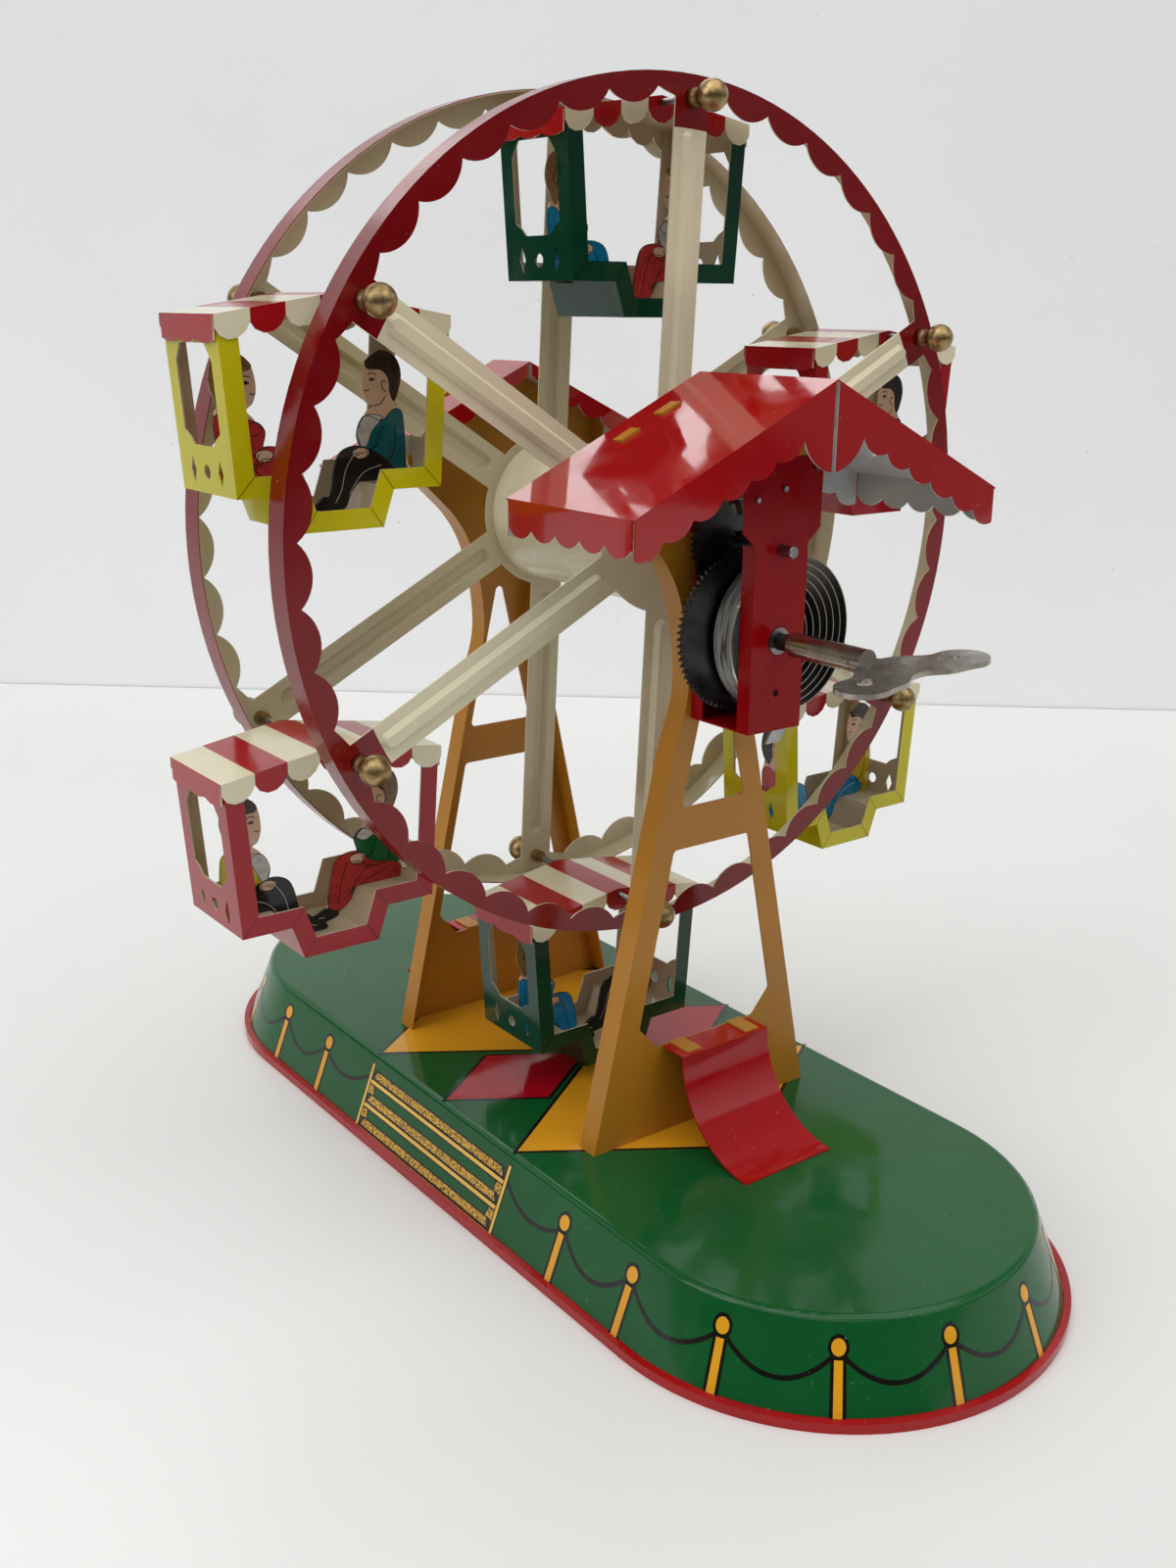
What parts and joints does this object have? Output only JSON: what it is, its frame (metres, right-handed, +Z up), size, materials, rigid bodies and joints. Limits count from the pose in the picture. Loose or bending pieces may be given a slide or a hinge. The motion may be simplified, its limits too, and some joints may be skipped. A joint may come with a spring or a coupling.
{
  "type": "wind-up toy ferris wheel",
  "caption": "Free-standing wind-up tinplate toy wheel: swinging cars with seated figures hang between two spoked sides, turned by an open clockwork motor with a key.",
  "frame": {"origin": "middle of the base, on the surface that it stands on", "axes": "+Z up, the wheel's axle along Y, the motor and its key at the -Y end"},
  "size_m": [0.2818, 0.3692, 0.3387],
  "materials": {
    "base_green": "glossy printed tinplate, red rolled edge",
    "ochre_paint": "satin enamel on tinplate",
    "red_paint": "glossy enamel on tinplate, bare metal inside",
    "wheel_print": "cream printed tinplate with a red rim",
    "cream_paint": "cream enamel on tinplate",
    "car_green": "glossy printed tinplate",
    "car_yellow": "glossy printed tinplate",
    "car_red": "glossy printed tinplate",
    "roof_stripes": "cream and red striped tinplate",
    "figure_print": null,
    "brass": "turned and polished",
    "bright_steel": "bare, lightly worn",
    "dark_steel": "oiled, dark",
    "spring_steel": "bare rolled strip",
    "nickel": "nickel plate, slightly dulled"
  },
  "bodies": {
    "stand": {"base_pan": "base_green", "front_upright": "ochre_paint", "rear_upright": "ochre_paint", "front_ramp": "red_paint", "rear_ramp": "red_paint", "front_roof": "red_paint", "rear_roof": "red_paint", "motor_frame": "red_paint", "motor_pillars": "red_paint", "motor_clip": "bright_steel", "bushes": "bright_steel", "mainspring": "spring_steel", "spring_post": "bright_steel"},
    "wheel": {"wheel_side_front": "wheel_print", "wheel_side_rear": "wheel_print", "hub_drum": "cream_paint", "hub_sleeve": "cream_paint", "axle": "bright_steel", "axle_gear": "dark_steel", "axle_pinion": "dark_steel", "car_rods": "bright_steel", "ball_nuts": "brass", "inner_nuts": "brass"},
    "green_car_1": {"green_car_1_body": "car_green", "green_car_1_roof": "roof_stripes", "green_car_1_left_figure": "figure_print", "green_car_1_right_figure": "figure_print"},
    "yellow_car_1": {"yellow_car_1_body": "car_yellow", "yellow_car_1_roof": "roof_stripes", "yellow_car_1_left_figure": "figure_print", "yellow_car_1_right_figure": "figure_print"},
    "red_car_1": {"red_car_1_body": "car_red", "red_car_1_roof": "roof_stripes", "red_car_1_left_figure": "figure_print", "red_car_1_right_figure": "figure_print"},
    "green_car_2": {"green_car_2_body": "car_green", "green_car_2_roof": "roof_stripes", "green_car_2_left_figure": "figure_print", "green_car_2_right_figure": "figure_print"},
    "yellow_car_2": {"yellow_car_2_body": "car_yellow", "yellow_car_2_roof": "roof_stripes", "yellow_car_2_left_figure": "figure_print", "yellow_car_2_right_figure": "figure_print"},
    "red_car_2": {"red_car_2_body": "car_red", "red_car_2_roof": "roof_stripes", "red_car_2_left_figure": "figure_print", "red_car_2_right_figure": "figure_print"},
    "great_wheel": {"great_gear": "dark_steel", "click": "bright_steel"},
    "winding": {"winding_arbor": "dark_steel", "ratchet_wheel": "bright_steel", "key_tube": "nickel", "key_bow": "nickel"},
    "escapement": {"escape_arbor": "dark_steel", "escape_wheel": "bright_steel"},
    "rocker": {"pallet": "bright_steel"}
  },
  "joints": [
    {"name": "wheel_spin", "type": "hinge", "parent": "stand", "child": "wheel", "pos_m": [0, -0.0025, 0.2125], "axis": [0, 1, 0], "continuous": true},
    {"name": "green_car_1_swing", "type": "hinge", "parent": "wheel", "child": "green_car_1", "pos_m": [0.00565, -0.0025, 0.33237], "axis": [0, 1, 0], "continuous": true},
    {"name": "yellow_car_1_swing", "type": "hinge", "parent": "wheel", "child": "yellow_car_1", "pos_m": [-0.10098, -0.0025, 0.27733], "axis": [0, 1, 0], "continuous": true},
    {"name": "red_car_1_swing", "type": "hinge", "parent": "wheel", "child": "red_car_1", "pos_m": [-0.10663, -0.0025, 0.15746], "axis": [0, 1, 0], "continuous": true},
    {"name": "green_car_2_swing", "type": "hinge", "parent": "wheel", "child": "green_car_2", "pos_m": [-0.00565, -0.0025, 0.09263], "axis": [0, 1, 0], "continuous": true},
    {"name": "yellow_car_2_swing", "type": "hinge", "parent": "wheel", "child": "yellow_car_2", "pos_m": [0.10098, -0.0025, 0.14767], "axis": [0, 1, 0], "continuous": true},
    {"name": "red_car_2_swing", "type": "hinge", "parent": "wheel", "child": "red_car_2", "pos_m": [0.10663, -0.0025, 0.26754], "axis": [0, 1, 0], "continuous": true},
    {"name": "great_wheel_spin", "type": "hinge", "parent": "stand", "child": "great_wheel", "pos_m": [0, -0.06625, 0.1871], "axis": [0, 1, 0], "continuous": true},
    {"name": "escape_spin", "type": "hinge", "parent": "stand", "child": "escapement", "pos_m": [0, -0.0665, 0.2293], "axis": [0, 1, 0], "continuous": true},
    {"name": "winding_key", "type": "hinge", "parent": "great_wheel", "child": "winding", "pos_m": [0, -0.1, 0.1871], "axis": [0, 1, 0], "range_deg": [0, 1800]},
    {"name": "pallet_rock", "type": "hinge", "parent": "stand", "child": "rocker", "pos_m": [-0.01, -0.0725, 0.2268], "axis": [0, 1, 0], "range_deg": [-6, 6]}
  ],
  "couplings": [
    {"joint": "green_car_1_swing", "follows": "wheel_spin", "ratio": -1},
    {"joint": "yellow_car_1_swing", "follows": "wheel_spin", "ratio": -1},
    {"joint": "red_car_1_swing", "follows": "wheel_spin", "ratio": -1},
    {"joint": "green_car_2_swing", "follows": "wheel_spin", "ratio": -1},
    {"joint": "yellow_car_2_swing", "follows": "wheel_spin", "ratio": -1},
    {"joint": "red_car_2_swing", "follows": "wheel_spin", "ratio": -1},
    {"joint": "great_wheel_spin", "follows": "wheel_spin", "ratio": -0.13889},
    {"joint": "escape_spin", "follows": "wheel_spin", "ratio": -6}
  ]
}
